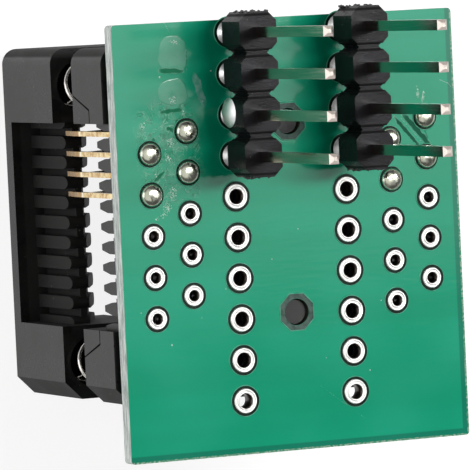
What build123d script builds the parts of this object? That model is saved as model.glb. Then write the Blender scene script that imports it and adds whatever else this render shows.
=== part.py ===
from build123d import *
import os

# Adapter board for small-outline chips: a press-down chip socket on one face of a
# circuit board, two rows of header pins on the other. It lies on the socket cover,
# pins up: Z = 0 is the outer face of the cover, X runs across the two pin rows and
# Y along them. The origin is under the middle of the board. Sizes are in mm.

# Circuit board
board_width = 23.4
board_length = 27.0
board_thickness = 1.0
board_corner = 0.25

# Grid of plated holes for the two pin rows, counted from the +Y edge
pin_pitch = 2.54
pin_row_spacing = 7.62
grid_rows = 10
first_row_edge = 0.8
pin_hole = 0.95
pin_pad = 1.55
pad_height = 0.05

# Header strips
header_ways = 4
header_standoff = 1.8
header_height = 2.54
header_width = 2.5
header_corner = 0.58
break_groove = 0.36
break_groove_depth = 0.25
pin_size = 0.64
pin_reach = 9.9
pin_tail = 0.05
pin_tip = 0.2

# Socket moulding shared by the base and the cover
socket_overhang = 0.23
socket_length = 22.1
socket_offset = 0.22
corner_radius = 1.0
corner_cut = 1.12
window_length = 12.8
wall = 1.2

# Heights of the stack, from the cover's outer face up to the board
cover_height = 7.75
free_gap = 3.3
base_height = 4.55
socket_standoff = 0.35

# Contact positions
contact_pitch = 1.27
contact_positions = 10
fitted_contacts = 4
inner_tail = 6.985
outer_tail = 9.525
tail_hole = 0.7
tail_pad = 1.3
contact_thickness = 0.3
contact_arm = 0.42
contact_arm_inset = 0.93
contact_foot_lift = 0.03
tail_protrusion = 0.3
lever_overlap = 0.25
lever_inset = 0.25
lever_kink = 1.65
inner_arm_width = 0.34
inner_arm_root = 0.45
shoulder_out = 3.0
shoulder_drop = 0.5
elbow_out = 0.5
elbow_rise = 1.05
heel_in = 0.6
heel_rise = 0.85
toe_in = 0.78
toe_rise = 0.15

# Cover
plate_thickness = 1.05
chip_opening = 15.6
stop_clearance = 0.3
comb_inset = 1.33
comb_depth = 5.5
comb_nose_depth = 1.45
tooth_width = 0.8
tooth_shelf = 1.1
tooth_end_round = 0.75
tooth_nose_round = 0.36
tooth_overhang = 0.4
web_inset = 0.65
web_drop = 0.35
web_shelf = 0.45

# Guide legs of the cover and their hooks
leg_x = 4.6
leg_inset = 1.95
leg_width = 2.2
leg_thickness = 0.9
hook_depth = 0.35
hook_height = 0.65
hook_play = 0.05
leg_clearance = 0.12
ledge_thickness = 0.8

# Springs and their pockets
spring_inset_x = 2.03
spring_inset_y = 2.35
spring_diameter = 2.9
spring_wire = 0.24
spring_pitch = 2.6
spring_pocket = 3.2
spring_seat_gap = 0.02
cover_pocket_floor = 3.2
base_pocket_floor = 1.15

# Base
floor_thickness = 0.55
seat_height = 2.15
seat_half_length = 7.3
seat_flare = 0.9
rib_root = 0.8
rib_tip = 0.38
rib_shoulder = 0.85
rib_reach = 1.95
rib_inset = 0.63
rib_inner_x = 6.1
tail_slot = 0.75
tail_slot_width = 0.4
spine_half_width = 2.4
peg_spacing = 11.88
peg_diameter = 1.5
peg_hole = 1.66
peg_recess = 0.3
foot_diameter = 1.6

# Contact nest
nest_gap = 0.1
nest_inset = 2.33
nest_slot = 0.46
nest_slot_inner_x = 5.5
platform_half_width = 5.4
platform_rise = 2.45
body_pocket_width = 7.8
body_pocket_depth = 0.5
stop_rise = 0.9
stop_thickness = 0.9
stop_gap = 13.1
lead_rib = 0.35
lead_rib_rise = 0.4

# Solder
solder_dome = 0.4
solder_spread = 0.07
dome_shoulder = 0.66
dome_shoulder_height = 0.8
cone_wall = 0.15
cone_foot_height = 0.9
cone_hollow = 0.11
run_way = 2
run_shift = 0.2
run_radius = 0.93
run_thickness = 0.3
run_rise = 0.5
run_shoulder = 0.6
run_shoulder_thickness = 0.7
bridge_radius = 0.25
bridge_drop = 0.31
bridge_start = 0.03

# Places worked out from the sizes
socket_width = board_width + 2 * socket_overhang
contact_arm_x = socket_width / 2 - contact_arm_inset
comb_outer_x = socket_width / 2 - comb_inset
rib_outer_x = socket_width / 2 - rib_inset
nest_half_width = socket_width / 2 - nest_inset
spring_x = socket_width / 2 - spring_inset_x
spring_y = socket_length / 2 - spring_inset_y
leg_y = socket_length / 2 - leg_inset
grid_top_y = board_length / 2 - first_row_edge
grid_center_y = grid_top_y - (grid_rows - 1) * pin_pitch / 2
socket_y = grid_center_y - socket_offset
rim_z = cover_height
base_top_z = rim_z + free_gap
base_foot_z = base_top_z + base_height
board_low_z = base_foot_z + socket_standoff
board_top_z = board_low_z + board_thickness
pad_top_z = board_top_z + pad_height
header_low_z = board_top_z + header_standoff
header_top_z = header_low_z + header_height
floor_z = base_foot_z - floor_thickness
seat_z = base_foot_z - seat_height
half_window = window_length / 2
socket_center = (0, socket_y)
SIDES = (-1, 1)


def grid_points(first, last):
    """Centres of the pin holes in both rows, from row `first` up to row `last`."""
    return [
        (side * pin_row_spacing / 2, grid_top_y - row * pin_pitch)
        for side in SIDES
        for row in range(first, last)
    ]


def contact_y(position):
    """Place of a contact position along the socket, position 0 at the +Y end."""
    return socket_y + ((contact_positions - 1) / 2 - position) * contact_pitch


def tail_x(side, position):
    """Solder tails step in and out along a row, and the other row steps the other way."""
    return inner_tail if (position % 2 == 0) == (side < 0) else outer_tail


def tail_points(first, last):
    """Centres of the socket's solder holes on both sides."""
    return [
        (side * tail_x(side, position), contact_y(position))
        for side in SIDES
        for position in range(first, last)
    ]


def socket_plan(level):
    """Plan of both mouldings: round corners at the +Y end, cut corners at the other."""
    with BuildSketch(Plane.XY.offset(level)) as plan:
        with Locations(socket_center):
            Rectangle(socket_width, socket_length)
        fillet(plan.vertices().group_by(Axis.Y)[-1], radius=corner_radius)
        chamfer(plan.vertices().group_by(Axis.Y)[0], length=corner_cut)
    return plan.sketch


def comb_ys():
    """Middles of the teeth, which stand between the contact positions."""
    return [contact_y(i) - contact_pitch / 2 for i in range(contact_positions - 1)]


def end_ys():
    """Middles of the half teeth that stand against the end blocks."""
    last = contact_positions - 1
    return [contact_y(0) + contact_pitch / 2, contact_y(last) - contact_pitch / 2]


def spring_points():
    return [(sx * spring_x, socket_y + sy * spring_y) for sx in SIDES for sy in SIDES]


def peg_points():
    return [(0, socket_y + side * peg_spacing / 2) for side in SIDES]


def leg_points():
    return [(sx * leg_x, sy) for sx in SIDES for sy in SIDES]


os.makedirs("parts", exist_ok=True)

# Circuit board with its drilled holes
with BuildPart() as board:
    with BuildSketch(Plane.XY.offset(board_low_z)) as board_plan:
        Rectangle(board_width, board_length)
        fillet(board_plan.vertices(), radius=board_corner)
        with Locations(*grid_points(0, grid_rows)):
            Circle(pin_hole / 2, mode=Mode.SUBTRACT)
        with Locations(*tail_points(0, contact_positions)):
            Circle(tail_hole / 2, mode=Mode.SUBTRACT)
        with Locations(*peg_points()):
            Circle(peg_hole / 2, mode=Mode.SUBTRACT)
    extrude(amount=board_thickness)
board.part.label = "circuit_board"
export_step(board.part, "parts/circuit_board.step")

# Tinned rings round the plated holes, on both faces, for the pin grid and the socket.
# The plating inside a hole is thinner than a hair, and the hole has its plated size.
for label, points, hole, pad in (
    ("pin_grid_pads", grid_points(0, grid_rows), pin_hole, pin_pad),
    ("socket_pads", tail_points(0, contact_positions), tail_hole, tail_pad),
):
    with BuildPart() as pads:
        for level in (board_low_z - pad_height, board_top_z):
            with BuildSketch(Plane.XY.offset(level)):
                with Locations(*points):
                    Circle(pad / 2)
                    Circle(hole / 2, mode=Mode.SUBTRACT)
            extrude(amount=pad_height)
    pads.part.label = label
    export_step(pads.part, "parts/" + label + ".step")

# Header strips: a row of eight-sided blocks with a break groove between them
for side, name in zip(SIDES, ("left", "right")):
    row_x = side * pin_row_spacing / 2
    block_ys = [grid_top_y - way * pin_pitch for way in range(header_ways)]
    with BuildPart() as housing:
        with BuildSketch(Plane.XY.offset(header_low_z)) as strip:
            for y in block_ys:
                with BuildSketch(mode=Mode.PRIVATE) as block:
                    with Locations((row_x, y)):
                        Rectangle(header_width, pin_pitch)
                    chamfer(block.vertices(), length=header_corner)
                add(block.sketch)
            with Locations(*[(row_x, y) for y in block_ys]):
                Rectangle(pin_size, pin_size, mode=Mode.SUBTRACT)
        extrude(amount=header_height)
        for level in (header_low_z, header_top_z):
            with Locations(*[(row_x, y - pin_pitch / 2, level) for y in block_ys[:-1]]):
                Box(header_width, break_groove, 2 * break_groove_depth, mode=Mode.SUBTRACT)
    housing.part.label = "header_housing_" + name
    export_step(housing.part, "parts/header_housing_" + name + ".step")

    for way, y in enumerate(block_ys):
        with BuildPart() as pin:
            with BuildSketch(Plane.XY.offset(board_low_z - pin_tail)):
                with Locations((row_x, y)):
                    Rectangle(pin_size, pin_size)
            extrude(amount=header_top_z + pin_reach - board_low_z + pin_tail)
            chamfer(pin.faces().sort_by(Axis.Z)[-1].edges(), length=pin_tip)
        label = "header_pin_" + name + "_" + str(way + 1)
        pin.part.label = label
        export_step(pin.part, "parts/" + label + ".step")

# Solder between the header pads and the raised strip: a sleeve with a hollow foot at
# each pin
with BuildPart() as header_solder:
    for x, y in grid_points(0, header_ways):
        with BuildSketch(Plane.XZ.offset(-y)):
            with BuildLine():
                foot = (x + pin_pad / 2, pad_top_z)
                waist = (x + pin_size / 2 + cone_wall, pad_top_z + cone_foot_height)
                middle_x = (foot[0] + waist[0]) / 2 - cone_hollow
                middle_z = (foot[1] + waist[1]) / 2 - cone_hollow
                ThreePointArc(foot, (middle_x, middle_z), waist)
                Polyline(waist, (waist[0], header_low_z), (x, header_low_z), (x, pad_top_z), foot)
            make_face()
        revolve(axis=Axis((x, y, 0), (0, 0, 1)))
    # solder that ran up the outer side of the left strip at its third pin
    run_x, pin_y = grid_points(0, header_ways)[run_way]
    run_y = pin_y + run_shift
    run_face = run_x - header_width / 2
    run_z = header_low_z + run_rise
    with BuildSketch(Plane.XZ.offset(-run_y)):
        with BuildLine():
            apex = (run_face - run_thickness, run_z)
            shoulder = (
                run_face - run_shoulder_thickness * run_thickness,
                run_z + run_shoulder * run_radius,
            )
            rim = (run_face, run_z + run_radius)
            ThreePointArc(apex, shoulder, rim)
            Polyline(rim, (run_face, run_z), apex)
        make_face()
    revolve(axis=Axis((run_face, run_y, run_z), (1, 0, 0)))
    with BuildSketch(Plane.YZ.offset(run_face - bridge_start)):
        with Locations((run_y, header_low_z - bridge_drop)):
            Circle(bridge_radius)
    extrude(amount=run_x - run_face + bridge_start)
    with Locations(*[(x, y, pad_top_z) for x, y in grid_points(0, header_ways)]):
        Box(pin_size, pin_size, 2 * header_standoff, mode=Mode.SUBTRACT)
header_solder.part.label = "header_solder"
export_step(header_solder.part, "parts/header_solder.step")

# Solder domes over the socket's tails: flat on top, steep at the edge, and run out
# past the ring as far as the mask lets them
dome_radius = tail_pad / 2 + solder_spread
with BuildPart() as socket_solder:
    for x, y in tail_points(0, fitted_contacts):
        with BuildSketch(Plane.XZ.offset(-y)):
            with BuildLine():
                foot = (x + dome_radius, board_top_z)
                shoulder_height = dome_shoulder_height * solder_dome
                shoulder = (x + dome_shoulder * dome_radius, pad_top_z + shoulder_height)
                crown = (x, pad_top_z + solder_dome)
                Spline(foot, shoulder, crown, tangents=((0, 1), (-1, 0)))
                Polyline(crown, (x, board_top_z), foot)
            make_face()
        revolve(axis=Axis((x, y, 0), (0, 0, 1)))
    with BuildSketch(Plane.XY.offset(board_top_z)):
        with Locations(*tail_points(0, fitted_contacts)):
            Circle(tail_pad / 2)
    extrude(amount=pad_height, mode=Mode.SUBTRACT)
    with Locations(*[(x, y, pad_top_z) for x, y in tail_points(0, fitted_contacts)]):
        Box(contact_arm, contact_thickness, 2 * tail_protrusion, mode=Mode.SUBTRACT)
socket_solder.part.label = "socket_solder"
export_step(socket_solder.part, "parts/socket_solder.step")

# Socket base: floor, ribs between the contact slots and an end block at each end
with BuildPart() as base:
    add(socket_plan(base_top_z))
    extrude(amount=base_height)
    # open middle between the end blocks, down to the floor
    with Locations((0, socket_y, (base_top_z + floor_z) / 2)):
        Box(socket_width + 1, window_length, floor_z - base_top_z, mode=Mode.SUBTRACT)
    # the floor stands back from both sides along the window
    for side in SIDES:
        recess = socket_width / 2 - rib_outer_x
        recess_x = side * (rib_outer_x + recess / 2)
        with Locations((recess_x, socket_y, floor_z)):
            Box(recess, window_length, 2 * base_height, mode=Mode.SUBTRACT)
    # flared seat of the contact nest, cut across both end blocks
    with BuildSketch(Plane.YZ.offset(-socket_width / 2 - 1)):
        with BuildLine():
            Polyline(
                (socket_y - seat_half_length, seat_z + nest_gap),
                (socket_y + seat_half_length, seat_z + nest_gap),
                (socket_y + seat_half_length + seat_flare, base_top_z),
                (socket_y - seat_half_length - seat_flare, base_top_z),
                close=True,
            )
        make_face()
    extrude(amount=socket_width + 2, mode=Mode.SUBTRACT)
    # ribs with tapered tips beside the nest, lower ones under it, and half ribs at
    # the ends of the window
    shoulder_z = floor_z - rib_shoulder
    rib_end_z = floor_z - rib_reach
    taper = (rib_root - rib_tip) / (shoulder_z - rib_end_z)
    under_x = nest_half_width + nest_gap
    for side in SIDES:
        for start, end, top_z in (
            (rib_inner_x, under_x, seat_z),
            (under_x, rib_outer_x, rib_end_z),
        ):
            half_top = (rib_tip + taper * (top_z - rib_end_z)) / 2
            for y in comb_ys() + end_ys():
                low_y = max(y - rib_root / 2, socket_y - half_window)
                high_y = min(y + rib_root / 2, socket_y + half_window)
                with BuildSketch(Plane.YZ.offset(side * start)):
                    with BuildLine():
                        Polyline(
                            (low_y, floor_z),
                            (low_y, shoulder_z),
                            (max(y - half_top, low_y), top_z),
                            (min(y + half_top, high_y), top_z),
                            (high_y, shoulder_z),
                            (high_y, floor_z),
                            close=True,
                        )
                    make_face()
                extrude(amount=side * (end - start))
    # spine under the nest, which carries the two pegs
    with Locations((0, socket_y, (seat_z + floor_z) / 2)):
        Box(2 * spine_half_width, window_length, floor_z - seat_z)
    with BuildSketch(Plane.XY.offset(base_foot_z)):
        with Locations(*peg_points()):
            Circle(peg_diameter / 2)
    extrude(amount=socket_standoff + board_thickness - peg_recess)
    # feet that stand the moulding off the board, over the spring pockets
    with BuildSketch(Plane.XY.offset(base_foot_z)):
        with Locations(*spring_points()):
            Circle(foot_diameter / 2)
    extrude(amount=socket_standoff)
    # slots for the solder tails
    with Locations(*[(x, y, base_foot_z) for x, y in tail_points(0, contact_positions)]):
        Box(tail_slot, tail_slot_width, 3 * floor_thickness, mode=Mode.SUBTRACT)
    # spring pockets
    with BuildSketch(Plane.XY.offset(base_top_z)):
        with Locations(*spring_points()):
            Circle(spring_pocket / 2)
    extrude(amount=base_height - base_pocket_floor, mode=Mode.SUBTRACT)
    # leg slots: narrow at the top where the ledge is, wide below for the hook
    slot_width = leg_width + 2 * leg_clearance
    for sx, sy in leg_points():
        inner = socket_y + sy * (leg_y - leg_clearance)
        outer = socket_y + sy * (leg_y + leg_thickness + leg_clearance)
        hook_outer = outer + sy * hook_depth
        with Locations((sx, (inner + outer) / 2, base_top_z)):
            Box(slot_width, abs(outer - inner), 4 * base_height, mode=Mode.SUBTRACT)
        low = base_top_z + ledge_thickness
        with Locations((sx, (inner + hook_outer) / 2, (low + base_foot_z) / 2)):
            Box(slot_width, abs(hook_outer - inner), base_foot_z - low, mode=Mode.SUBTRACT)
base.part.label = "socket_base"
export_step(base.part, "parts/socket_base.step")

# Contact nest: a plate with a slot for each contact and a platform for the chip
plate_top_z = base_top_z
platform_z = plate_top_z - platform_rise
with BuildPart() as nest:
    with BuildSketch(Plane.YZ.offset(-socket_width / 2)):
        with BuildLine():
            low = seat_half_length - nest_gap
            high = low + seat_flare
            Polyline(
                (socket_y - low, seat_z),
                (socket_y + low, seat_z),
                (socket_y + high, plate_top_z),
                (socket_y - high, plate_top_z),
                close=True,
            )
        make_face()
    extrude(amount=socket_width)
    # the long sides stand back behind the contacts
    for side in SIDES:
        with Locations((side * (nest_half_width + socket_width) / 2, socket_y, seat_z)):
            Box(
                socket_width - nest_half_width,
                window_length,
                4 * seat_height,
                mode=Mode.SUBTRACT,
            )
    # platform with a pocket for the chip's body between two end stops
    with Locations((0, socket_y, (platform_z + plate_top_z) / 2)):
        Box(2 * platform_half_width, window_length, platform_rise)
    for side in SIDES:
        stop_y = socket_y + side * (stop_gap + stop_thickness) / 2
        stop_top_z = platform_z - stop_rise
        with Locations((0, stop_y, (stop_top_z + plate_top_z) / 2)):
            Box(2 * platform_half_width, stop_thickness, plate_top_z - stop_top_z)
    with Locations((0, socket_y, platform_z)):
        Box(body_pocket_width, stop_gap, 2 * body_pocket_depth, mode=Mode.SUBTRACT)
    # ribs that keep the leads apart, over the ledges beside the pocket
    ledge = platform_half_width - body_pocket_width / 2
    for side in SIDES:
        ledge_x = side * (platform_half_width - ledge / 2)
        with Locations(*[(ledge_x, y, platform_z - lead_rib_rise / 2) for y in comb_ys()]):
            Box(ledge, lead_rib, lead_rib_rise)
    # slots that let the contacts reach over the plate
    for side in SIDES:
        slot_x = side * (nest_slot_inner_x + nest_half_width) / 2
        slots = [(slot_x, contact_y(i), seat_z) for i in range(contact_positions)]
        with Locations(*slots):
            Box(
                nest_half_width - nest_slot_inner_x,
                nest_slot,
                4 * seat_height,
                mode=Mode.SUBTRACT,
            )
    # the corners are cut round the springs
    with BuildSketch(Plane.XY.offset(base_top_z)):
        with Locations(*spring_points()):
            Circle(spring_pocket / 2)
    extrude(amount=seat_height * 2, mode=Mode.SUBTRACT)
nest.part.label = "contact_nest"
export_step(nest.part, "parts/contact_nest.step")

# Contacts: one flat stamping each, with a tail, a foot in its slot, an outer arm
# that ends in a lever inside the cover, and an inner arm that presses on the lead
foot_z = floor_z - contact_foot_lift - contact_arm / 2
for side, name in zip(SIDES, ("left", "right")):
    for position in range(fitted_contacts):
        y = contact_y(position)
        tail = side * tail_x(side, position)
        with BuildPart() as contact:
            with BuildSketch(Plane.XZ.offset(-y)):
                with BuildLine():
                    FilletPolyline(
                        (tail, foot_z),
                        (side * contact_arm_x, foot_z),
                        (side * contact_arm_x, rim_z + lever_kink),
                        (side * (contact_arm_x - lever_inset), rim_z - lever_overlap),
                        radius=(contact_arm, 2 * contact_arm),
                    )
                trace(line_width=contact_arm)
                with BuildLine():
                    FilletPolyline(
                        (side * contact_arm_x, base_top_z - inner_arm_root),
                        (side * (platform_half_width + shoulder_out), platform_z + shoulder_drop),
                        (side * (platform_half_width + elbow_out), platform_z - elbow_rise),
                        (side * (platform_half_width - heel_in), platform_z - heel_rise),
                        (side * (platform_half_width - toe_in), platform_z - toe_rise),
                        radius=(5 * contact_arm, 2 * contact_arm, contact_arm),
                    )
                trace(line_width=inner_arm_width)
                with BuildLine():
                    Line((tail, foot_z), (tail, pad_top_z + tail_protrusion))
                trace(line_width=contact_arm)
            extrude(amount=contact_thickness / 2, both=True)
        label = "contact_" + name + "_" + str(position + 1)
        contact.part.label = label
        export_step(contact.part, "parts/" + label + ".step")

# Socket cover: a plate with the chip opening, an end block at each end, open sides
# with a comb of cam teeth, spring pockets and four hooked guide legs
inner_x = chip_opening / 2
web_outer_x = comb_outer_x - web_inset
nose_x = inner_x - tooth_overhang
nose_z = plate_thickness + comb_nose_depth
tip_z = plate_thickness + comb_depth
web_tip_z = tip_z - web_drop
leg_end_z = base_top_z + ledge_thickness + hook_play + hook_height
with BuildPart() as cover:
    add(socket_plan(0))
    extrude(amount=cover_height)
    # both sides and the middle are open above the plate
    above_plate = cover_height - plate_thickness
    with Locations((0, socket_y, plate_thickness + above_plate / 2)):
        Box(socket_width + 1, window_length, above_plate, mode=Mode.SUBTRACT)
    # chip opening, longer where the end stops of the nest come through
    with Locations((0, socket_y, 0)):
        Box(chip_opening, window_length, 4 * plate_thickness, mode=Mode.SUBTRACT)
    stop_end = stop_gap / 2 + stop_thickness + stop_clearance
    notch_width = 2 * (platform_half_width + stop_clearance)
    with Locations((0, socket_y, cover_height / 2)):
        Box(notch_width, 2 * stop_end, cover_height + 1, mode=Mode.SUBTRACT)
    # core-outs between the spring pockets and behind the end walls
    core_start = stop_end + rib_root
    core_end = socket_length / 2 - wall
    core_width = 2 * (spring_x - spring_pocket / 2 - wall)
    for side in SIDES:
        core_y = socket_y + side * (core_start + core_end) / 2
        with Locations((0, core_y, cover_height)):
            Box(core_width, core_end - core_start, 2 * above_plate, mode=Mode.SUBTRACT)
    with BuildSketch(Plane.XY.offset(cover_pocket_floor)):
        with Locations(*spring_points()):
            Circle(spring_pocket / 2)
    extrude(amount=cover_height, mode=Mode.SUBTRACT)
    for side in SIDES:
        # web behind the contacts' levers
        web_face = Plane.XZ.offset(-socket_y - half_window)
        with BuildSketch(web_face):
            with BuildLine():
                Polyline(
                    (side * inner_x, 0),
                    (side * inner_x, nose_z),
                    (side * (web_outer_x - web_shelf), web_tip_z),
                    (side * web_outer_x, web_tip_z),
                    (side * web_outer_x, 0),
                    close=True,
                )
            make_face()
        extrude(amount=window_length)
    # teeth between the contact positions, with a round end towards the base, sloping
    # back to a round nose that stands out into the opening
    with BuildPart(mode=Mode.PRIVATE) as tooth:
        with BuildSketch(Plane.XZ):
            with BuildLine():
                Polyline(
                    (nose_x, 0),
                    (nose_x, nose_z),
                    (comb_outer_x - tooth_shelf, tip_z),
                    (comb_outer_x, tip_z),
                    (comb_outer_x, 0),
                    close=True,
                )
            make_face()
        extrude(amount=tooth_width / 2, both=True)
        nose_edges = tooth.edges().filter_by(Axis.Z).group_by(Axis.X)[0]
        fillet(nose_edges, radius=tooth_nose_round)
        with BuildSketch(Plane.YZ):
            round_z = tip_z - tooth_end_round
            with Locations((0, round_z / 2)):
                Rectangle(tooth_width, round_z)
            with Locations((0, round_z)):
                Ellipse(tooth_width / 2, tooth_end_round)
        extrude(amount=comb_outer_x, mode=Mode.INTERSECT)
    for y in comb_ys() + end_ys():
        with Locations(Location((0, y, 0)), Location((0, y, 0), (0, 0, 180))):
            add(tooth.part)
    # guide legs, each with a hook at its end that the ledge in the base holds back
    for sx, sy in leg_points():
        face_y = socket_y + sy * leg_y
        with BuildSketch(Plane.YZ.offset(sx - leg_width / 2)):
            with BuildLine():
                hook_z = leg_end_z - hook_height
                Polyline(
                    (face_y, plate_thickness),
                    (face_y, leg_end_z),
                    (face_y + sy * leg_thickness, leg_end_z),
                    (face_y + sy * (leg_thickness + hook_depth), hook_z + hook_height / 3),
                    (face_y + sy * (leg_thickness + hook_depth), hook_z),
                    (face_y + sy * leg_thickness, hook_z),
                    (face_y + sy * leg_thickness, plate_thickness),
                    close=True,
                )
            make_face()
        extrude(amount=leg_width)
cover.part.label = "socket_cover"
export_step(cover.part, "parts/socket_cover.step")

# Coil springs between the pockets in the cover and in the base
spring_low_z = cover_pocket_floor + spring_wire / 2 + spring_seat_gap
spring_high_z = base_foot_z - base_pocket_floor - spring_wire / 2 - spring_seat_gap
coil_radius = (spring_diameter - spring_wire) / 2
with BuildPart() as coil:
    with BuildLine() as coil_line:
        Helix(spring_pitch, spring_high_z - spring_low_z, coil_radius)
    with BuildSketch(Plane(coil_line.line @ 0, z_dir=coil_line.line % 0)):
        Circle(spring_wire / 2)
    sweep(path=coil_line.line, is_frenet=True)
spring_names = ("left_front", "left_rear", "right_front", "right_rear")
for (x, y), name in zip(spring_points(), spring_names):
    outward = 180 if x < 0 else 0
    with BuildPart() as spring:
        with Locations(Location((x, y, spring_low_z), (0, 0, outward))):
            add(coil.part)
    spring.part.label = "spring_" + name
    export_step(spring.part, "parts/spring_" + name + ".step")
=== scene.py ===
import bmesh
import bpy
import random
from math import cos, pi, radians, sin
from mathutils import Matrix, Vector


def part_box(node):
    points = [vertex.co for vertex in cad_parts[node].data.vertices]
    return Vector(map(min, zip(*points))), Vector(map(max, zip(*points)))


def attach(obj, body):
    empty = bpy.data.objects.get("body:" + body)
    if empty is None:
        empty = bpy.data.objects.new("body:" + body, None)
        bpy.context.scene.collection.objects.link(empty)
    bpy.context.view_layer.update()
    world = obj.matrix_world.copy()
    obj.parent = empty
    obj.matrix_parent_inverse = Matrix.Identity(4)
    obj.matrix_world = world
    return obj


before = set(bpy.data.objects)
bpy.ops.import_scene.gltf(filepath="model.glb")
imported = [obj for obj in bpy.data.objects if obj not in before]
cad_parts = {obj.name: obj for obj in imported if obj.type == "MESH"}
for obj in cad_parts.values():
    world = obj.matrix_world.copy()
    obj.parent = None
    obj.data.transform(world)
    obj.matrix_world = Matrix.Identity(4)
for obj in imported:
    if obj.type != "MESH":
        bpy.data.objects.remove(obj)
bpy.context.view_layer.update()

# Chip adapter board, lying on its socket cover with the pins up. Lengths are in metres,
# and MM turns a size in millimetres into metres.
MM = 0.001

scene = bpy.context.scene
scene.view_settings.view_transform = "Standard"

# Camera, fitted to the plated holes and pin tips of the photograph
CAMERA_PLACE = (-0.14615, 0.01788, 0.32154)
CAMERA_RIGHT = (0.90410, -0.04705, 0.42472)
CAMERA_UP = (0.06493, 0.99750, -0.02771)
CAMERA_BACK = (-0.42236, 0.05263, 0.90490)
SENSOR_WIDTH = 36.0
LENS = 416.7

# Places that the pieces made here share with the model. The first of two radii is the
# hole's and the second the pad's.
BODY = "board_and_base"
BOARD_LOW, BOARD_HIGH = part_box("circuit_board")
BOARD_TOP = BOARD_HIGH.z
PAD_TOP = BOARD_TOP + 0.05 * MM
GRID_PITCH = 2.54 * MM
GRID_ROWS = 10
HEADER_WAYS = 4
ROW_X = 3.81 * MM
FIRST_ROW_Y = BOARD_HIGH.y - 0.8 * MM
GRID_RADII = (0.475 * MM, 0.775 * MM)
CONTACT_PITCH = 1.27 * MM
POSITIONS = 10
FITTED = 4
INNER_X = 6.985 * MM
OUTER_X = 9.525 * MM
SOCKET_Y = FIRST_ROW_Y - (GRID_ROWS - 1) * GRID_PITCH / 2 - 0.22 * MM
TAIL_RADII = (0.35 * MM, 0.65 * MM)
PEG_SPACING = 11.88 * MM
PEG_HOLE_RADIUS = 0.84 * MM
# the combs and ribs inside the socket end here, and the contacts' levers bend at KINK_Z
COMBS_X = 11.2 * MM
COMBS_Y = 6.5 * MM
COMBS_TOP = 13.0 * MM
KINK_Z = 10.25 * MM

# Small sizes of the pieces made here
TIN_RISE = 0.07 * MM
TIN_FILM = 0.02 * MM
BARE_FILM = 0.012 * MM
BARE_LOW = BOARD_TOP - BARE_FILM
MASK_GAP = 0.17 * MM
PAD_OVERLAP = 0.03 * MM
PEG_OPENING_RADIUS = 1.13 * MM
# height, width at the crest and width at the foot of the mask's raised rims
PAD_LIP = (0.042 * MM, 0.024 * MM, 0.06 * MM)
PEG_LIP = (0.048 * MM, 0.03 * MM, 0.072 * MM)
# profile of a tin rim from the hole outwards, as shares of its width and rise: the
# barrel's lip, a crease and a domed ring
TIN_RIM = (
    (0.0, -0.3),
    (-0.02, 0.5),
    (0.08, 1.0),
    (0.2, 1.05),
    (0.32, 0.7),
    (0.42, 0.15),
    (0.5, 0.2),
    (0.6, 0.75),
    (0.75, 1.0),
    (0.88, 0.8),
    (0.97, 0.3),
    (1.0, -0.3),
)
BURRS_AT_INNER_END = 16
BURRS_AT_OUTER_END = 12
BURR_RADII = (0.07 * MM, 0.2 * MM)
FLAKE_RISE = 0.3
FLAKE_DEPTH = 0.005 * MM

# Marks on the board. Places, half sizes, lengths and radii in these tables are in
# millimetres, and turns in degrees.
# Place, half size and turn
FLUX_FILMS = (
    ((-7.6, 11.5), (0.92, 1.12), -8),
    ((-7.72, 9.2), (0.98, 0.75), 4),
)
HAND_SOLDERED_ZONE = ((-8.15, 5.6), (2.3, 3.6), 6)
SCUFF = ((-5.95, 9.25), (0.26, 1.1), 17)
DARK_STAINS = (
    ((-7.8, 10.52), (0.84, 0.14), -4),
    ((-7.9, 8.06), (0.8, 0.13), 3),
    ((-7.5, 7.2), (0.16, 0.3), 20),
    ((-9.3, 6.1), (0.1, 0.4), -15),
    ((-8.9, 4.1), (0.5, 0.1), 40),
    ((-9.9, 2.9), (0.4, 0.12), 35),
    ((-7.1, 4.6), (0.2, 0.16), 0),
    ((-8.0, 6.9), (0.3, 0.14), -30),
    ((8.26, 5.85), (0.13, 1.3), 41),
    ((8.93, 5.97), (0.19, 1.4), 41.5),
    ((9.55, 5.9), (0.03, 1.0), 12),
)
CRUMBS_PER_MM2 = 210
CRUMB_RADII = (0.014, 0.055)
WHITE_RESIDUE = (
    ((-7.5, 12.26), (0.38, 0.14), -15),
    ((-7.78, 8.74), (0.28, 0.26), 0),
    ((-7.1, 7.83), (0.14, 0.24), 30),
    ((-8.05, 6.15), (0.3, 0.3), 0),
    ((-8.27, 5.2), (0.22, 0.55), 25),
    ((-8.05, 2.95), (0.3, 0.42), 0),
    ((-8.5, 2.1), (0.34, 0.3), 30),
    ((-8.75, 1.7), (0.24, 0.22), 20),
    ((-9.2, 1.5), (0.14, 0.14), 20),
    ((-9.17, 4.23), (0.15, 0.15), 0),
    ((-9.87, 7.22), (0.24, 0.26), 0),
    ((9.15, 8.2), (0.1, 0.34), -5),
    ((9.46, 8.0), (0.17, 0.34), -12),
)
# Hairs and scratches: place, half length, turn, radius of a crumb, number of crumbs.
# The crumbs stray from the line by STRAY.
STRAY = 0.01
STROKES = (
    ((11.0, 8.88), 0.3, -25, 0.025, 60),
    ((11.38, 8.66), 0.2, -48, 0.02, 40),
    ((-7.95, 13.2), 0.34, 120, 0.022, 30),
    ((2.9, -10.75), 1.9, -37, 0.018, 70),
    ((-6.72, 11.1), 0.7, 88, 0.016, 50),
    ((9.13, 8.35), 0.4, 97, 0.03, 46),
    ((9.47, 8.0), 0.36, 80, 0.032, 46),
    ((8.6, 5.92), 1.1, -48.5, 0.02, 90),
)
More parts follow.
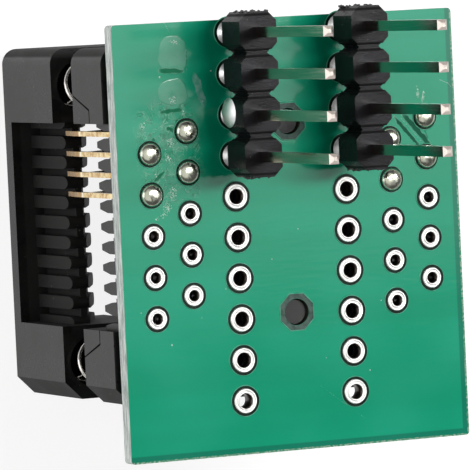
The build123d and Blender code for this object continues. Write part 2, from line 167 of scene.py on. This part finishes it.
# Dust: place and radius
SPECKS = (
    ((-8.59, 10.19), 0.08),
    ((-4.3, 0.56), 0.06),
    ((0.36, 0.26), 0.07),
    ((-1.53, -1.49), 0.05),
    ((-8.61, -6.32), 0.08),
    ((-4.77, -3.13), 0.06),
    ((-10.59, -4.21), 0.06),
    ((-5.75, 8.55), 0.05),
    ((-5.1, 10.4), 0.06),
    ((5.9, -4.6), 0.05),
    ((1.9, -7.9), 0.05),
    ((4.9, -8.9), 0.06),
    ((-6.5, -4.8), 0.04),
)


def rgb(red, green, blue):
    """A colour given in display values of 0 to 255."""
    return tuple(
        value / 12.92 if value <= 0.04045 else ((value + 0.055) / 1.055) ** 2.4
        for value in (red / 255, green / 255, blue / 255)
    ) + (1.0,)


# Colours of the board and of what lies on it
MASK_DEEP = rgb(2, 148, 111)
MASK_BRIGHT = rgb(8, 154, 119)
COPPER_BAND = rgb(0, 138, 101)
BORDER = rgb(4, 100, 80)
TORN_DARK = rgb(30, 132, 96)
TORN_PALE = rgb(170, 186, 170)
CURL_DARK = rgb(2, 104, 72)
CURL_PALE = rgb(132, 188, 160)
FILM_COLOUR = rgb(92, 158, 132)
FILM_RIM = rgb(2, 92, 62)
LEFT_STAIN = rgb(0, 104, 68)
RIGHT_STAIN = rgb(0, 66, 46)
SCUFF_COLOUR = rgb(150, 178, 178)
FIBRE_DARK = rgb(150, 164, 158)
FIBRE_PALE = rgb(240, 244, 242)
# painted shade for the walls of the holes
HOLE_SHADE = rgb(44, 44, 36)
CORE_ROUGHNESS = 0.6
MASK_ROUGHNESS = 0.11

# Floor and light. A card's brightness of 1 shows as white in a mirror.
FLOOR_SIZE = 6.0
FLOOR_DROP = 0.02 * MM
SHADOW_NEAR = 0.02
SHADOW_FAR = 0.12
CARD_HEIGHT = 0.6
CREAM = (1.0, 0.98, 0.92)
FILL_SIZE = 0.5
FILL_STRENGTH = 2.2
FILL_FROM = Vector((-0.95, 0.1, 0.22)).normalized()
FILL_DISTANCE = 0.7
ROOM_LIGHT = 0.2
DARK_CEILING = 0.12


def grid_points(first):
    """Centres of the pin grid's holes, from row first on."""
    rows = range(first, GRID_ROWS)
    return [(side * ROW_X, FIRST_ROW_Y - row * GRID_PITCH) for side in (-1, 1) for row in rows]


def tail_points(first):
    """Centres of the socket's staggered holes, from position first on."""
    points = []
    for side in (-1, 1):
        for position in range(first, POSITIONS):
            inner = (position % 2 == 0) == (side < 0)
            y = SOCKET_Y + ((POSITIONS - 1) / 2 - position) * CONTACT_PITCH
            points.append((side * (INNER_X if inner else OUTER_X), y))
    return points


def plated_holes(first_row, first_position):
    """Centre, hole radius and pad radius of each plated hole."""
    grid = [(point, *GRID_RADII) for point in grid_points(first_row)]
    return grid + [(point, *TAIL_RADII) for point in tail_points(first_position)]


ALL_HOLES = plated_holes(0, 0)
OPEN_HOLES = plated_holes(HEADER_WAYS, FITTED)


def add_camera():
    data = bpy.data.cameras.new("camera")
    data.sensor_width = SENSOR_WIDTH
    data.lens = LENS
    data.clip_start = 0.01
    data.clip_end = 20.0
    camera = bpy.data.objects.new("camera", data)
    scene.collection.objects.link(camera)
    turn = Matrix((CAMERA_RIGHT, CAMERA_UP, CAMERA_BACK)).transposed().to_4x4()
    camera.matrix_world = Matrix.Translation(CAMERA_PLACE) @ turn
    scene.camera = camera


# Shader helpers
class Nodes:
    """A node tree with short calls for the nodes that this scene uses. place is the
    coordinate that the calls start from."""

    def __init__(self, tree, space):
        self.tree = tree
        self.place = self.add("ShaderNodeTexCoord").outputs[space]

    def put(self, value, socket):
        if isinstance(value, bpy.types.NodeSocket):
            self.tree.links.new(value, socket)
        else:
            socket.default_value = value

    def add(self, kind, *values, **named):
        """A new node, with values for its first inputs in order, and for those named."""
        node = self.tree.nodes.new(kind)
        for value, socket in zip(values, node.inputs):
            self.put(value, socket)
        for name, value in named.items():
            self.put(value, node.inputs[name])
        return node

    def math(self, operation, *values):
        node = self.add("ShaderNodeMath", *values)
        node.operation = operation
        return node.outputs[0]

    def plus(self, first, second):
        return self.math("ADD", first, second)

    def minus(self, first, second):
        return self.math("SUBTRACT", first, second)

    def times(self, first, second):
        return self.math("MULTIPLY", first, second)

    def most(self, first, second):
        return self.math("MAXIMUM", first, second)

    def size(self, value):
        return self.math("ABSOLUTE", value)

    def apart(self, first, second):
        return self.size(self.minus(first, second))

    def vector_math(self, operation, *values):
        node = self.add("ShaderNodeVectorMath", *values)
        node.operation = operation
        return node.outputs["Value" if operation == "LENGTH" else "Vector"]

    def axes(self, vector=None):
        return self.add("ShaderNodeSeparateXYZ", vector or self.place).outputs

    def facing(self, axis):
        """How squarely the surface faces along an axis, from 0 to 1."""
        normal = self.add("ShaderNodeNewGeometry").outputs["Normal"]
        return self.size(self.axes(normal)[axis])

    def stretch(self, scale, turn=0.0):
        """The place scaled along each axis, and turned in radians."""
        turns = (0, 0, turn)
        node = self.add("ShaderNodeMapping", Vector=self.place, Scale=scale, Rotation=turns)
        return node.outputs[0]

    def noise(self, size, detail=3.0, rough=0.5, vector=None, warp=0.0):
        """Noise whose patches are about size across, in metres."""
        node = self.add(
            "ShaderNodeTexNoise",
            Vector=vector or self.place,
            Scale=1 / size,
            Detail=detail,
            Roughness=rough,
            Distortion=warp,
        )
        return node.outputs["Fac"]

    def ramp(self, value, low, high, start=0.0, end=1.0):
        """start where value is low or less, end where it is high or more, smooth between."""
        node = self.add("ShaderNodeMapRange", value, low, high, start, end)
        node.interpolation_type = "SMOOTHSTEP"
        return node.outputs[0]

    def vary(self, noise, start=0.0, end=1.0, spread=0.4):
        """start to end, over the middle spread of the values of a noise."""
        return self.ramp(noise, 0.5 - spread / 2, 0.5 + spread / 2, start, end)

    def mix(self, factor, first, second):
        """A mix of two colours, which are inputs 6 and 7 and output 2 of the node."""
        node = self.add("ShaderNodeMix", factor)
        node.data_type = "RGBA"
        self.put(first, node.inputs[6])
        self.put(second, node.inputs[7])
        return node.outputs[2]

    def bump(self, height, distance, strength, under=None):
        node = self.add("ShaderNodeBump", Height=height, Distance=distance, Strength=strength)
        if under:
            self.put(under, node.inputs["Normal"])
        return node.outputs[0]

    def wander(self, size, shift):
        """The place moved over the board by up to about shift, in patches about size
        across."""
        node = self.add("ShaderNodeTexNoise", Vector=self.place, Scale=1 / size, Detail=2.0)
        centred = self.vector_math("SUBTRACT", node.outputs["Color"], (0.5, 0.5, 0.5))
        flat = self.vector_math("MULTIPLY", centred, (2 * shift, 2 * shift, 0))
        return self.vector_math("ADD", self.place, flat)

    def reach(self, patch, vector):
        """How far a place is from the centre of a patch of the tables above, where 1 is
        the patch's rounded rim."""
        (x, y), (half_x, half_y), turn = patch
        node = self.add(
            "ShaderNodeMapping",
            Vector=vector,
            Location=(x * MM, y * MM, 0),
            Rotation=(0, 0, radians(turn)),
            Scale=(half_x * MM, half_y * MM, 1),
        )
        node.vector_type = "TEXTURE"
        across, along = self.axes(node.outputs[0])[:2]
        cube = self.math("POWER", self.size(across), 3.0)
        return self.plus(cube, self.math("POWER", self.size(along), 3.0))


class Shader(Nodes):
    """A material's node tree with one Principled surface."""

    def __init__(self, name):
        self.material = bpy.data.materials.new(name)
        self.material.use_nodes = True
        tree = self.material.node_tree
        tree.nodes.clear()
        super().__init__(tree, "Object")
        self.surface = self.add("ShaderNodeBsdfPrincipled")
        self.add("ShaderNodeOutputMaterial", Surface=self.surface.outputs[0])

    def set(self, **values):
        """Inputs of the surface, named in lower case with underscores."""
        sockets = {item.name.lower().replace(" ", "_"): item for item in self.surface.inputs}
        for name, value in values.items():
            self.put(value, sockets[name])


# Materials
def clean_mask(s, x, y, cloud):
    """Solder mask with copper bands under it, a darker border and a torn edge."""
    green = s.mix(s.vary(cloud), MASK_DEEP, MASK_BRIGHT)
    bands = s.noise(2.6 * MM, 1.0, 0.4, s.stretch((0.05, 1.0, 0.0), 0.03))
    green = s.mix(s.vary(bands, 0.0, 0.3, 0.16), green, COPPER_BAND)
    # the copper stops short of the right and front edges, and the mask is darker there
    inward = s.math("MINIMUM", s.minus(BOARD_HIGH.x, x), s.minus(y, BOARD_LOW.y))
    green = s.mix(s.ramp(inward, 0.4 * MM, 0.48 * MM, 0.65, 0.0), green, BORDER)
    chips = s.noise(0.16 * MM, 3.0, 0.7)
    torn = s.mix(s.ramp(chips, 0.45, 0.6), TORN_DARK, TORN_PALE)
    return s.mix(s.ramp(inward, 0.08 * MM, 0.14 * MM, 1.0, 0.0), green, torn)


def fluxed_mask(s, green, blotch):
    """The mask with its flux: films, which are paler than the mask and have a thin dark
    rim, and mottling and curled lines round the hand-made joints. Also gives how thick
    the film is, from 0 to 1."""
    loose = s.wander(0.9 * MM, 0.22 * MM)
    film = 0.0
    rim = 0.0
    for patch in FLUX_FILMS:
        far = s.reach(patch, loose)
        film = s.most(film, s.ramp(far, 0.9, 1.1, 1.0, 0.0))
        rim = s.most(rim, s.ramp(s.apart(far, 1.05), 0.0, 0.12, 1.0, 0.0))
    film = s.times(film, s.ramp(blotch, 0.3, 0.5, 0.5, 1.0))
    far = s.reach(HAND_SOLDERED_ZONE, loose)
    mottled = s.times(s.ramp(far, 0.2, 1.2, 0.7, 0.0), s.ramp(blotch, 0.42, 0.62))
    film = s.most(film, mottled)
    curls = s.noise(0.9 * MM, 3.0, 0.6, warp=1.2)
    zone = s.ramp(far, 0.5, 1.1, 1.0, 0.0)
    line = s.ramp(s.apart(curls, 0.5), 0.004, 0.024, 0.85, 0.0)
    green = s.mix(s.times(line, zone), green, CURL_DARK)
    line = s.ramp(s.apart(curls, 0.545), 0.002, 0.016, 0.6, 0.0)
    green = s.mix(s.times(line, zone), green, CURL_PALE)
    green = s.mix(s.times(film, 0.4), green, FILM_COLOUR)
    rim = s.times(rim, s.ramp(blotch, 0.4, 0.6, 0.0, 0.6))
    return s.mix(rim, green, FILM_RIM), film


def marked_mask(s, green, blotch, x):
    """The mask with dark stains and scrapes, and the bluish scuff that runs down beside
    the left strip. Also gives how dark the stains are, from 0 to 1."""
    ragged = s.wander(0.3 * MM, 0.16 * MM)
    scuff = s.ramp(s.reach(SCUFF, ragged), 0.3, 1.3, 0.6, 0.0)
    scuff = s.times(scuff, s.ramp(blotch, 0.35, 0.6, 0.3, 0.9))
    thin = s.wander(0.3 * MM, 0.14 * MM)
    dark = 0.0
    for patch in DARK_STAINS:
        dark = s.most(dark, s.ramp(s.reach(patch, thin), 0.3, 1.5, 1.0, 0.0))
    stain = s.mix(s.ramp(x, 0.0, 1 * MM), LEFT_STAIN, RIGHT_STAIN)
    green = s.mix(s.times(dark, 0.85), green, stain)
    return s.mix(scuff, green, SCUFF_COLOUR), dark


def cut_laminate(s, x, y):
    """Pale glass fibre in layers on the board's cut edges, with painted shade on the walls of
    its holes.
    """
    fibre = s.noise(0.5 * MM, 5.0, 0.75, s.stretch((0.3, 0.3, 3.5)))
    edge = s.mix(s.vary(fibre, spread=0.3), FIBRE_DARK, FIBRE_PALE)
    past_x = s.minus(s.size(x), BOARD_HIGH.x)
    past_y = s.minus(s.size(y), BOARD_HIGH.y)
    # away from the board's outer edges, the walls of the holes are painted dark as shade
    outside = s.ramp(s.most(past_x, past_y), -0.4 * MM, -0.3 * MM)
    return s.mix(outside, HOLE_SHADE, edge)


def board_material():
    s = Shader("solder_mask")
    x, y = s.axes()[:2]
    cloud = s.noise(6 * MM, 2.0)
    blotch = s.noise(0.55 * MM, 4.0, 0.65)
    green = clean_mask(s, x, y, cloud)
    green, film = fluxed_mask(s, green, blotch)
    green, dark = marked_mask(s, green, blotch, x)
    core = cut_laminate(s, x, y)
    level = s.ramp(s.facing(2), 0.4, 0.6)
    dull = s.plus(s.times(film, 0.06), s.times(dark, 0.85))
    rough = s.plus(MASK_ROUGHNESS, s.plus(dull, s.vary(cloud, 0.0, 0.03)))
    above_core = s.times(level, s.minus(rough, CORE_ROUGHNESS))
    weave = s.noise(0.5 * MM, 2.0, 0.5, s.stretch((0.35, 2.0, 1.0)))
    s.set(
        base_color=s.mix(level, core, green),
        roughness=s.plus(above_core, CORE_ROUGHNESS),
        normal=s.bump(film, 0.004 * MM, 0.6, s.bump(weave, 0.004 * MM, 0.4)),
    )
    return s.material


def tin_material():
    """Tinned copper, with painted shade in the crease of a ring and at its foot, in patches.
    """
    s = Shader("tinned_copper")
    patches = s.noise(0.5 * MM, 3.0)
    bright = s.mix(patches, rgb(238, 232, 232), rgb(252, 248, 247))
    # painted shade: the tin is darker low down, in the crease and at the foot of the ring
    low = s.ramp(s.axes()[2], PAD_TOP + 0.008 * MM, PAD_TOP + 0.03 * MM, 0.85, 0.0)
    painted_shade = s.times(low, s.ramp(s.noise(0.7 * MM, 1.0), 0.35, 0.6, 0.3, 1.0))
    s.set(
        base_color=s.mix(painted_shade, bright, rgb(92, 80, 78)),
        metallic=1.0,
        roughness=s.vary(patches, 0.2, 0.3),
        normal=s.bump(s.noise(0.25 * MM, 2.0), 0.015 * MM, 0.5),
    )
    return s.material


def dull_tin_material():
    """Tin on the walls of the holes."""
    s = Shader("dull_tin")
    patches = s.noise(0.2 * MM, 3.0)
    s.set(
        base_color=s.mix(patches, rgb(52, 48, 45), rgb(92, 86, 82)),
        metallic=1.0,
        roughness=s.vary(patches, 0.25, 0.4),
        normal=s.bump(patches, 0.01 * MM, 0.5),
    )
    return s.material


def solder_material():
    """Bright domes of solder at the socket's tails."""
    s = Shader("solder")
    patches = s.noise(0.6 * MM, 2.0, 0.6, warp=0.6)
    s.set(
        base_color=s.mix(patches, rgb(168, 174, 158), rgb(216, 217, 202)),
        metallic=1.0,
        roughness=s.vary(patches, 0.16, 0.3, 0.3),
        normal=s.bump(s.noise(0.45 * MM, 1.0), 0.05 * MM, 0.45),
    )
    return s.material


def dull_solder_material():
    """Solder that cooled slowly on the header, frosted and pale."""
    s = Shader("dull_solder")
    patches = s.noise(0.5 * MM, 3.0, 0.6)
    s.set(
        base_color=s.mix(patches, rgb(206, 206, 206), rgb(238, 238, 238)),
        metallic=1.0,
        roughness=s.vary(patches, 0.34, 0.5),
        normal=s.bump(s.noise(0.3 * MM, 2.0), 0.03 * MM, 0.5),
    )
    return s.material


def pin_material():
    """Tinned pins, with fine lines along them from being drawn."""
    s = Shader("tinned_pin")
    drawn = s.noise(0.12 * MM, 3.0, 0.6, s.stretch((1.0, 1.0, 0.06)))
    s.set(
        base_color=s.mix(drawn, rgb(164, 154, 146), rgb(200, 190, 182)),
        metallic=1.0,
        roughness=s.vary(drawn, 0.1, 0.18),
        normal=s.bump(drawn, 0.004 * MM, 0.5),
    )
    return s.material


def gold_material():
    """Gilt contacts. The lever has painted shade below its kink and a painted highlight at the
    kink.
    """
    s = Shader("gold_contact")
    patches = s.noise(0.4 * MM, 3.0)
    gold = s.mix(s.vary(patches, spread=0.3), rgb(196, 160, 104), rgb(244, 222, 172))
    height = s.axes()[2]
    # painted shade: the lever is darker below its kink, deeper in the socket
    shade_below_kink = s.ramp(height, KINK_Z - 0.35 * MM, KINK_Z - 0.15 * MM, 0.75, 0.0)
    gold = s.mix(shade_below_kink, gold, rgb(150, 112, 62))
    # painted highlight: a pale band round the kink
    painted_highlight = s.ramp(s.apart(height, KINK_Z), 0.05 * MM, 0.16 * MM, 0.95, 0.0)
    s.set(
        base_color=s.mix(painted_highlight, gold, rgb(255, 248, 226)),
        metallic=1.0,
        roughness=s.vary(patches, 0.22, 0.36),
        normal=s.bump(s.noise(0.2 * MM, 2.0), 0.01 * MM, 0.5),
    )
    return s.material


def spring_material():
    s = Shader("spring_wire")
    drawn = s.noise(0.2 * MM, 3.0)
    s.set(
        base_color=s.mix(drawn, rgb(200, 196, 192), rgb(234, 230, 226)),
        metallic=1.0,
        roughness=s.vary(drawn, 0.15, 0.3),
    )
    return s.material


def black_plastic(name, dark, pale, roughness, shine):
    """Moulded black plastic with a fine spark-eroded grain, rubbed patches and specks.
    Also gives its colour and roughness, for a material to change them."""
    s = Shader(name)
    grain = s.noise(0.09 * MM, 2.0, 0.6)
    patches = s.noise(2.2 * MM, 4.0, 0.6)
    colour = s.mix(s.vary(patches), dark, pale)
    speck = s.ramp(s.noise(0.22 * MM, 1.0, 0.5), 0.76, 0.8, 0.0, 0.35)
    colour = s.mix(speck, colour, rgb(150, 146, 140))
    s.set(specular_ior_level=shine, normal=s.bump(grain, 0.02 * MM, 0.45))
    return s, colour, s.vary(patches, roughness, roughness + 0.1)


def socket_material():
    """The socket's plastic. Its ends, and the combs and ribs inside it, which nothing
    rubs, are duller."""
    dark, pale = rgb(25, 25, 25), rgb(37, 36, 35)
    s, colour, rough = black_plastic("socket_plastic", dark, pale, 0.25, 0.22)
    x, y, z = s.axes()
    along = s.apart(y, SOCKET_Y)
    inside = s.ramp(s.size(x), COMBS_X, COMBS_X + 0.2 * MM, 0.4, 0.0)
    inside = s.times(inside, s.ramp(along, COMBS_Y, COMBS_Y + 0.4 * MM, 1.0, 0.0))
    inside = s.times(inside, s.ramp(z, COMBS_TOP, COMBS_TOP + 0.4 * MM, 1.0, 0.0))
    ends = s.ramp(s.facing(1), 0.4, 0.6, 0.0, 0.4)
    s.set(base_color=colour, roughness=s.plus(rough, s.most(inside, ends)))
    return s.material


def header_material():
    """The header strips' plastic, with painted shade along the sides of its break grooves."""
    dark, pale = rgb(14, 14, 16), rgb(24, 23, 28)
    s, colour, rough = black_plastic("header_plastic", dark, pale, 0.2, 0.1)
    ways = s.math("DIVIDE", s.minus(FIRST_ROW_Y, s.axes()[1]), GRID_PITCH)
    from_groove = s.math("PINGPONG", s.plus(ways, 0.5), 0.5)
    # painted shade: dark lines along both sides of each break groove
    painted_shade = s.ramp(s.apart(from_groove, 0.08), 0.015, 0.045, 0.75, 0.0)
    s.set(
        base_color=s.mix(painted_shade, colour, rgb(2, 2, 3)),
        roughness=s.plus(rough, s.times(painted_shade, 0.5)),
    )
    return s.material


def bare_material(name, dark, pale, shine):
    """Laminate without mask, dark and dull, round the pads and the peg holes."""
    s = Shader(name)
    fibre = s.noise(0.3 * MM, 3.0, 0.6)
    s.set(
        base_color=s.mix(s.vary(fibre, spread=0.3), dark, pale),
        specular_ior_level=shine,
        roughness=s.vary(fibre, 0.3, 0.45),
        normal=s.bump(fibre, 0.01 * MM, 0.4),
    )
    return s.material


def lip_material():
    """The mask's raised rim round an opening."""
    s = Shader("mask_rim")
    tone = s.noise(0.6 * MM, 2.0)
    s.set(
        base_color=s.mix(s.vary(tone), rgb(30, 146, 110), rgb(84, 172, 144)),
        specular_ior_level=0.3,
        roughness=s.vary(tone, 0.3, 0.42),
        normal=s.bump(tone, 0.01 * MM, 0.3),
    )
    return s.material


def residue_material():
    """Dried flux, dust and scratched mask."""
    s = Shader("flux_residue")
    tone = s.noise(0.15 * MM, 2.0)
    s.set(
        base_color=s.mix(s.vary(tone, spread=0.3), rgb(128, 182, 156), rgb(214, 226, 216)),
        roughness=s.vary(tone, 0.35, 0.6),
        normal=s.bump(tone, 0.01 * MM, 0.4),
    )
    return s.material


def paint_nodes():
    """Finished materials for the nodes of the model. The first entry that starts a
    node's name is its own, so contact_nest stands before contact."""
    socket = socket_material()
    header = header_material()
    tin = tin_material()
    finish = {
        "circuit_board": board_material(),
        "pin_grid_pads": tin,
        "socket_pads": tin,
        "header_housing": header,
        "header_pin": pin_material(),
        "header_solder": dull_solder_material(),
        "socket_solder": solder_material(),
        "socket_base": socket,
        "socket_cover": socket,
        "contact_nest": socket,
        "contact": gold_material(),
        "spring": spring_material(),
    }
    for name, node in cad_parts.items():
        material = next(m for start, m in finish.items() if name.startswith(start))
        node.data.materials.clear()
        node.data.materials.append(material)


# Small pieces that the model leaves to this script
def add_piece(name, mesh, material, smooth=False):
    """A new piece from a bmesh, which rides on the board's body."""
    bmesh.ops.recalc_face_normals(mesh, faces=mesh.faces)
    data = bpy.data.meshes.new(name)
    mesh.to_mesh(data)
    mesh.free()
    data.materials.append(material)
    for face in data.polygons:
        face.use_smooth = smooth
    piece = bpy.data.objects.new(name, data)
    scene.collection.objects.link(piece)
    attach(piece, BODY)


def turn_profile(mesh, centre, profile, sides=48):
    """A closed ring made by turning a profile of (radius, height) pairs. A third value
    of True gives that point of the profile eight flat sides."""
    loops = []
    for radius, height, *eight in profile:
        loop = []
        for i in range(sides):
            angle = 2 * pi * i / sides
            off_middle = (angle + pi / 8) % (pi / 4) - pi / 8
            reach = radius / cos(off_middle) if eight else radius
            place = (centre[0] + reach * cos(angle), centre[1] + reach * sin(angle), height)
            loop.append(mesh.verts.new(place))
        loops.append(loop)
    for low, high in zip(loops, loops[1:] + loops[:1]):
        for i in range(sides):
            j = (i + 1) % sides
            mesh.faces.new((low[i], low[j], high[j], high[i]))


def add_tin_rims():
    """A tin rim on each open pad."""
    mesh = bmesh.new()
    for point, hole, pad in OPEN_HOLES:
        width = pad - hole
        profile = [(hole + width * u, PAD_TOP + TIN_RISE * v) for u, v in TIN_RIM]
        turn_profile(mesh, point, profile)
    add_piece("tin_rims", mesh, bpy.data.materials["tinned_copper"], True)


def add_flake(mesh, draw, place, radius):
    """A low crumb with an uneven outline, half sunk in the board's surface. place and
    radius are in millimetres."""
    x, y = place[0] * MM, place[1] * MM
    radius *= MM
    top = mesh.verts.new((x, y, BOARD_TOP + FLAKE_RISE * radius))
    sides = draw.randint(5, 8)
    start = draw.uniform(0, 2 * pi)
    rim = []
    for i in range(sides):
        angle = start + 2 * pi * i / sides
        reach = radius * draw.uniform(0.6, 1.2)
        foot = (x + reach * cos(angle), y + reach * sin(angle), BOARD_TOP - FLAKE_DEPTH)
        rim.append(mesh.verts.new(foot))
    for first, second in zip(rim, rim[1:] + rim[:1]):
        mesh.faces.new((first, second, top))
    mesh.faces.new(rim[::-1])


def turned(place, turn, u, v=0.0):
    """place moved by u along and v across a line that is turned by turn degrees."""
    cosine, sine = cos(radians(turn)), sin(radians(turn))
    return (place[0] + u * cosine - v * sine, place[1] + u * sine + v * cosine)


def add_residue():
    """Dried flux in crumbs, dust specks, hairs and scratches on the board."""
    draw = random.Random(5)
    mesh = bmesh.new()
    for place, (half_x, half_y), turn in WHITE_RESIDUE:
        for _ in range(int(CRUMBS_PER_MM2 * pi * half_x * half_y)):
            reach = draw.random() ** 0.8
            angle = draw.uniform(0, 2 * pi)
            u = half_x * reach * cos(angle)
            v = half_y * reach * sin(angle)
            add_flake(mesh, draw, turned(place, turn, u, v), draw.uniform(*CRUMB_RADII))
    for (x, y), half, turn, radius, count in STROKES:
        for _ in range(count):
            u = draw.uniform(-half, half)
            place = (x + draw.gauss(0, STRAY), y + draw.gauss(0, STRAY))
            add_flake(mesh, draw, turned(place, turn, u), radius * draw.uniform(0.6, 1.2))
    for place, radius in SPECKS:
        add_flake(mesh, draw, place, radius)
    add_piece("flux_crumbs", mesh, residue_material())


def add_burrs():
    """Torn plastic on the ends of the strips, where they were broken from longer ones."""
    draw = random.Random(3)
    mesh = bmesh.new()
    for side in ("left", "right"):
        low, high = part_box("header_housing_" + side)
        for end, count in ((low.y, BURRS_AT_INNER_END), (high.y, BURRS_AT_OUTER_END)):
            for _ in range(count):
                place = Vector((draw.uniform(low.x, high.x), end, draw.uniform(low.z, high.z)))
                # a quarter of the way back to the middle, clear of the cut corners
                place.x += 0.25 * ((low.x + high.x) / 2 - place.x)
                size = draw.uniform(*BURR_RADII)
                lump = bmesh.ops.create_icosphere(mesh, subdivisions=1, radius=size)
                for vert in lump["verts"]:
                    vert.co *= draw.uniform(0.55, 1.15)
                    vert.co.y *= 0.8
                    vert.co += place
    add_piece("break_burrs", mesh, bpy.data.materials["header_plastic"])


def add_hole_plating():
    """The tin on the walls of the open holes, dull and thin."""
    mesh = bmesh.new()
    low = BOARD_LOW.z - TIN_FILM
    for point, hole, _ in OPEN_HOLES:
        inner = hole - TIN_FILM
        wall = ((hole, low), (inner, low + TIN_FILM), (inner, PAD_TOP), (hole, PAD_TOP))
        turn_profile(mesh, point, wall)
    add_piece("hole_plating", mesh, dull_tin_material(), True)


def bare_profile(inner, outer, *eight):
    """Bare laminate from a hole or pad to the edge of the mask."""
    top = BOARD_TOP + BARE_FILM
    inside = ((inner, BARE_LOW), (inner, top))
    return inside + ((outer, top, *eight), (outer, BARE_LOW, *eight))


def lip_profile(edge, height, crest, foot, *eight):
    """The mask's raised rim outside an opening."""
    top = BOARD_TOP + height
    inside = ((edge, BARE_LOW, *eight), (edge, top, *eight))
    return inside + ((edge + crest, top, *eight), (edge + foot, BARE_LOW, *eight))


def add_mask_openings():
    """Bare rings round the pads, bare octagons round the peg holes, and the mask's
    raised rim outside each."""
    rings = bmesh.new()
    octagons = bmesh.new()
    lips = bmesh.new()
    for point, _, pad in ALL_HOLES:
        edge = pad + MASK_GAP
        turn_profile(rings, point, bare_profile(pad - PAD_OVERLAP, edge))
        turn_profile(lips, point, lip_profile(edge, *PAD_LIP))
    for side in (-1, 1):
        point = (0.0, SOCKET_Y + side * PEG_SPACING / 2)
        edge = PEG_OPENING_RADIUS
        turn_profile(octagons, point, bare_profile(PEG_HOLE_RADIUS, edge, True))
        turn_profile(lips, point, lip_profile(edge, *PEG_LIP, True))
    bare = bare_material("bare_laminate", rgb(4, 26, 20), rgb(18, 42, 34), 0.07)
    add_piece("mask_openings", rings, bare)
    bare = bare_material("bare_laminate_wide", rgb(34, 62, 54), rgb(66, 88, 80), 0.2)
    add_piece("peg_openings", octagons, bare)
    add_piece("mask_rims", lips, lip_material())


# Floor and light
def seen_ray(s):
    """1 for the rays that show the background: camera, mirror and glass rays."""
    rays = s.add("ShaderNodeLightPath").outputs
    seen = s.most(rays["Is Camera Ray"], rays["Is Glossy Ray"])
    return s.most(seen, rays["Is Transmission Ray"])


def add_floor():
    """A pale floor that glows where it is seen, a little less near the object, so that
    its soft shadow shows there."""
    bpy.ops.mesh.primitive_plane_add(size=FLOOR_SIZE, location=(0, 0, -FLOOR_DROP))
    floor = bpy.context.object
    floor.name = "floor"
    s = Shader("pale_floor")
    seen = seen_ray(s)
    far = s.vector_math("LENGTH", s.place)
    glow = s.ramp(far, SHADOW_NEAR, SHADOW_FAR, 0.87, 0.97)
    s.set(
        base_color=s.mix(seen, rgb(232, 232, 230), rgb(120, 120, 119)),
        roughness=0.7,
        normal=s.bump(s.noise(0.02, 3.0), 0.05 * MM, 0.2),
        emission_color=(1.0, 1.0, 1.0, 1.0),
        emission_strength=s.times(seen, glow),
    )
    floor.data.materials.append(s.material)


def add_card(name, edges, strength, tint=(1.0, 1.0, 1.0), lights=False):
    """A level soft box CARD_HEIGHT above the board. edges are its left, right, low and
    high ones. Unless it lights, it is seen in reflections only."""
    left, right, low, high = edges
    data = bpy.data.lights.new(name, "AREA")
    data.shape = "RECTANGLE"
    data.size = right - left
    data.size_y = high - low
    data.energy = strength * pi * data.size * data.size_y
    data.color = tint
    card = bpy.data.objects.new(name, data)
    card.location = ((left + right) / 2, (low + high) / 2, BOARD_TOP + CARD_HEIGHT)
    card.visible_diffuse = lights
    scene.collection.objects.link(card)


def add_fill():
    """A square soft box at the left, which lights the socket's side."""
    data = bpy.data.lights.new("left_fill", "AREA")
    data.size = FILL_SIZE
    data.energy = FILL_STRENGTH * pi * FILL_SIZE**2
    fill = bpy.data.objects.new("left_fill", data)
    fill.location = FILL_FROM * FILL_DISTANCE + Vector((0, 0, BOARD_TOP))
    fill.rotation_euler = FILL_FROM.to_track_quat("Z", "Y").to_euler()
    scene.collection.objects.link(fill)


def add_world():
    """A backdrop that is white where it is seen, and in mirrors fades from white at the
    horizon to a dark ceiling."""
    world = bpy.data.worlds.new("studio")
    scene.world = world
    world.use_nodes = True
    w = Nodes(world.node_tree, "Generated")
    rays = w.add("ShaderNodeLightPath").outputs
    height = w.axes()[2]
    fade = w.add("ShaderNodeMapRange", height, 0.02, 0.2, 1.0, DARK_CEILING).outputs[0]
    seen = w.most(rays["Is Glossy Ray"], rays["Is Transmission Ray"])
    shade = w.add("ShaderNodeMix", Factor=seen, A=ROOM_LIGHT, B=fade).outputs[0]
    shade = w.add("ShaderNodeMix", Factor=rays["Is Camera Ray"], A=shade, B=1.0).outputs[0]
    backdrop = world.node_tree.nodes["Background"]
    w.put(shade, backdrop.inputs["Strength"])
    w.put((1, 1, 1, 1), backdrop.inputs["Color"])


def add_lights():
    add_card("key", (0.03, 0.54, 0.068, 0.166), 28.0, lights=True)
    add_fill()
    add_card("sheen_card", (0.12, 0.54, -0.042, 0.068), 1.6)
    add_card("cream_card", (-0.6, 0.1, -0.45, 0.45), 0.85, CREAM)
    add_world()


add_camera()
paint_nodes()
add_tin_rims()
add_residue()
add_burrs()
add_hole_plating()
add_mask_openings()
add_floor()
add_lights()
